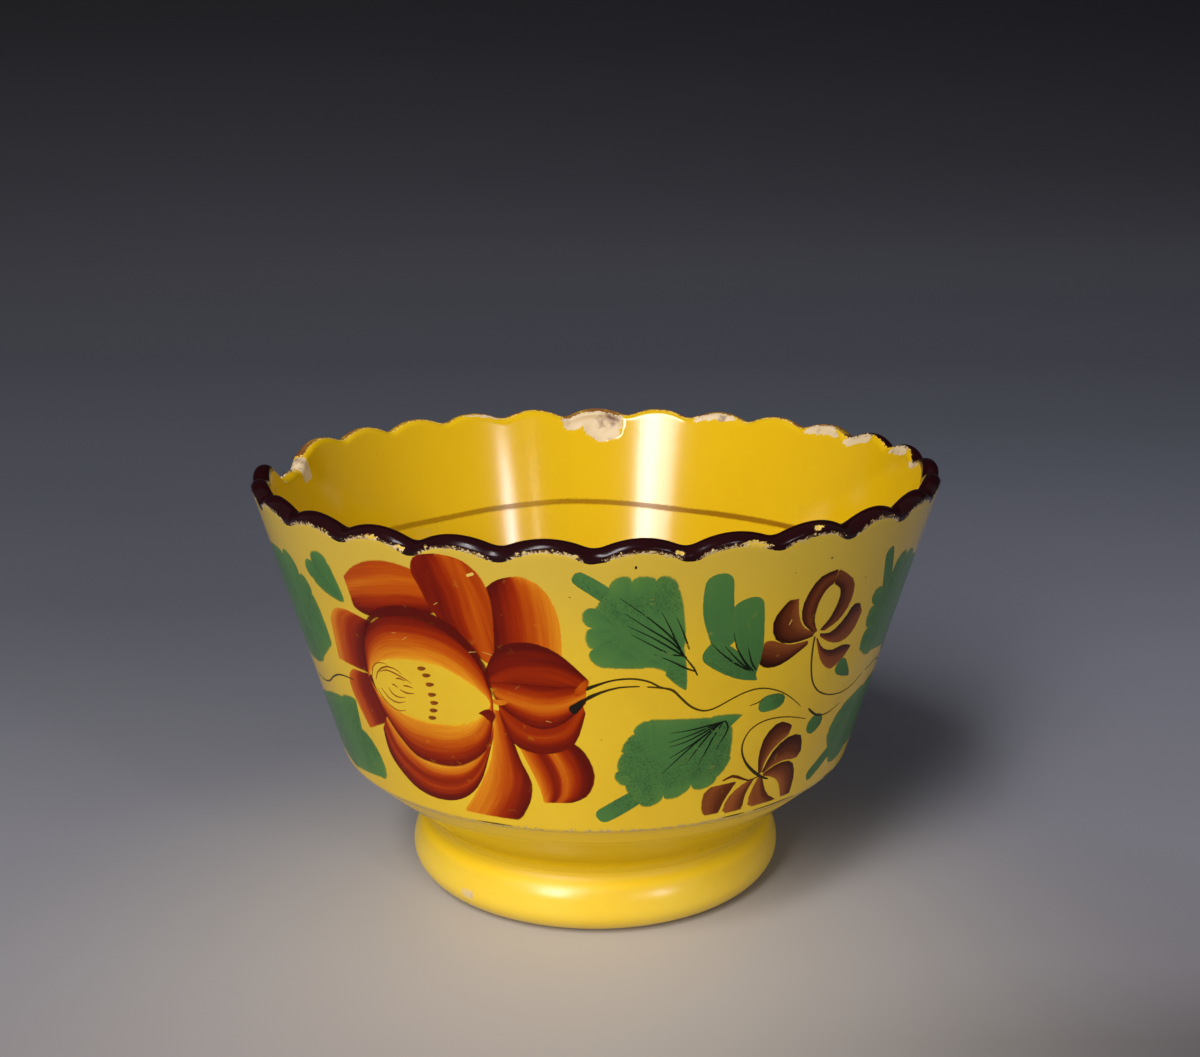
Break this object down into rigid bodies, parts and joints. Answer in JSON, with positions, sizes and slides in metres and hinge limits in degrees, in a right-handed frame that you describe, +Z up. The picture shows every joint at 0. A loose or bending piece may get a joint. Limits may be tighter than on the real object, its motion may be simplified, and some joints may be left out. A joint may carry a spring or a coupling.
{
  "type": "pottery cup",
  "caption": "Round handleless pottery cup with a conical wall, a scalloped dark lip, a sharp lower edge and a beaded foot ring.",
  "frame": {"origin": "centre of the ring that the cup stands on, on the surface under it", "axes": "+Z up along the turning axis, -Y towards the front with the large flower, +X to the viewer's right"},
  "size_m": [0.0998, 0.0998, 0.0631],
  "materials": {
    "yellow_glaze": "gloss",
    "rim_enamel": "gloss",
    "line_enamel": "gloss",
    "red_enamel": "gloss",
    "green_enamel": "gloss",
    "brown_enamel": "gloss"
  },
  "bodies": {
    "root": {"cup_bowl": "yellow_glaze", "foot_ring": "yellow_glaze", "rim_enamel": "rim_enamel", "inner_line": "line_enamel"}
  },
  "joints": []
}
